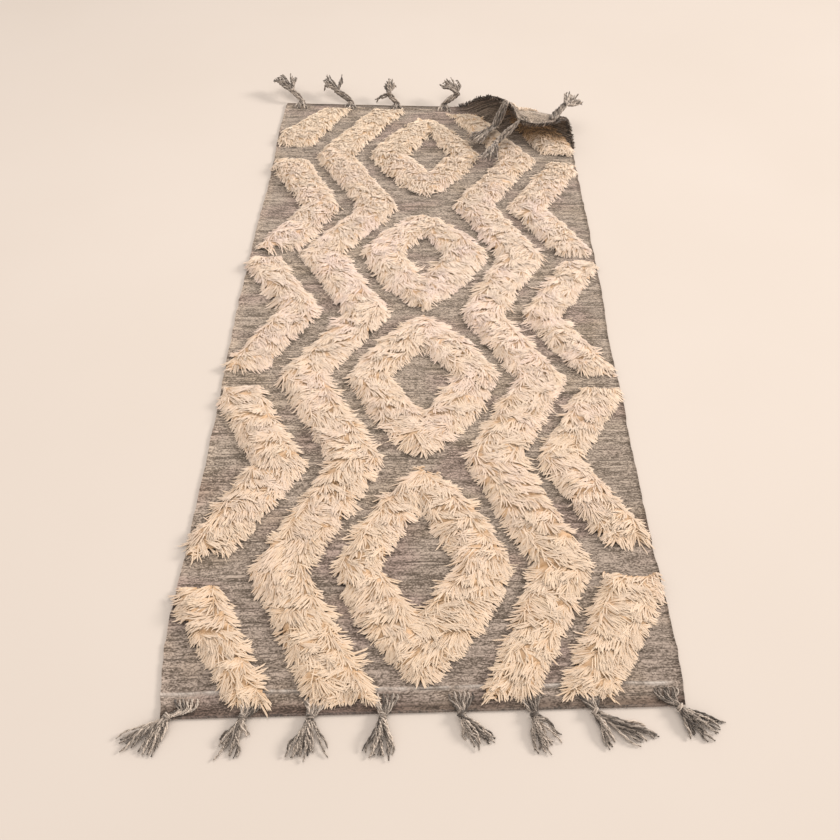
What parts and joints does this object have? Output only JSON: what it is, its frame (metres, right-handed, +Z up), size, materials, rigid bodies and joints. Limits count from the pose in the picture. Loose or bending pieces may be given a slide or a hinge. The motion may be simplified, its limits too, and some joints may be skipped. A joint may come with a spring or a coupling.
{
  "type": "kilim",
  "caption": "Long flat-woven wool floor rug with raised shaggy pile in diamonds and zigzags, knotted tassels at its ends and a curled-up corner.",
  "frame": {"origin": "middle of the rug's underside, on the floor", "axes": "+X across the rug towards the side with the curled corner, +Y along the rug towards its curled end, +Z up out of the pile"},
  "size_m": [0.7706, 1.6585, 0.09],
  "materials": {
    "ground": "marled grey-brown wool flat weave",
    "pile": "long cream wool knotted pile",
    "tassel": "loose two-ply marled wool yarn"
  },
  "bodies": {
    "root": {"ground_cloth": "ground", "pile_diamond_1": "pile", "pile_diamond_2": "pile", "pile_diamond_3": "pile", "pile_diamond_4": "pile", "pile_zigzag_left": "pile", "pile_zigzag_right": "pile", "pile_arm_left_far": "pile", "pile_chevron_left_1": "pile", "pile_chevron_left_2": "pile", "pile_chevron_left_3": "pile", "pile_arm_left_near": "pile", "pile_arm_right_far": "pile", "pile_chevron_right_1": "pile", "pile_chevron_right_2": "pile", "pile_chevron_right_3": "pile", "pile_arm_right_near": "pile", "tassel_near_1": "tassel", "tassel_near_2": "tassel", "tassel_near_3": "tassel", "tassel_near_4": "tassel", "tassel_near_5": "tassel", "tassel_near_6": "tassel", "tassel_near_7": "tassel", "tassel_near_8": "tassel", "tassel_far_1": "tassel", "tassel_far_2": "tassel", "tassel_far_3": "tassel", "tassel_far_4": "tassel", "tassel_far_5": "tassel", "tassel_far_6": "tassel", "tassel_far_7": "tassel"}
  },
  "joints": []
}
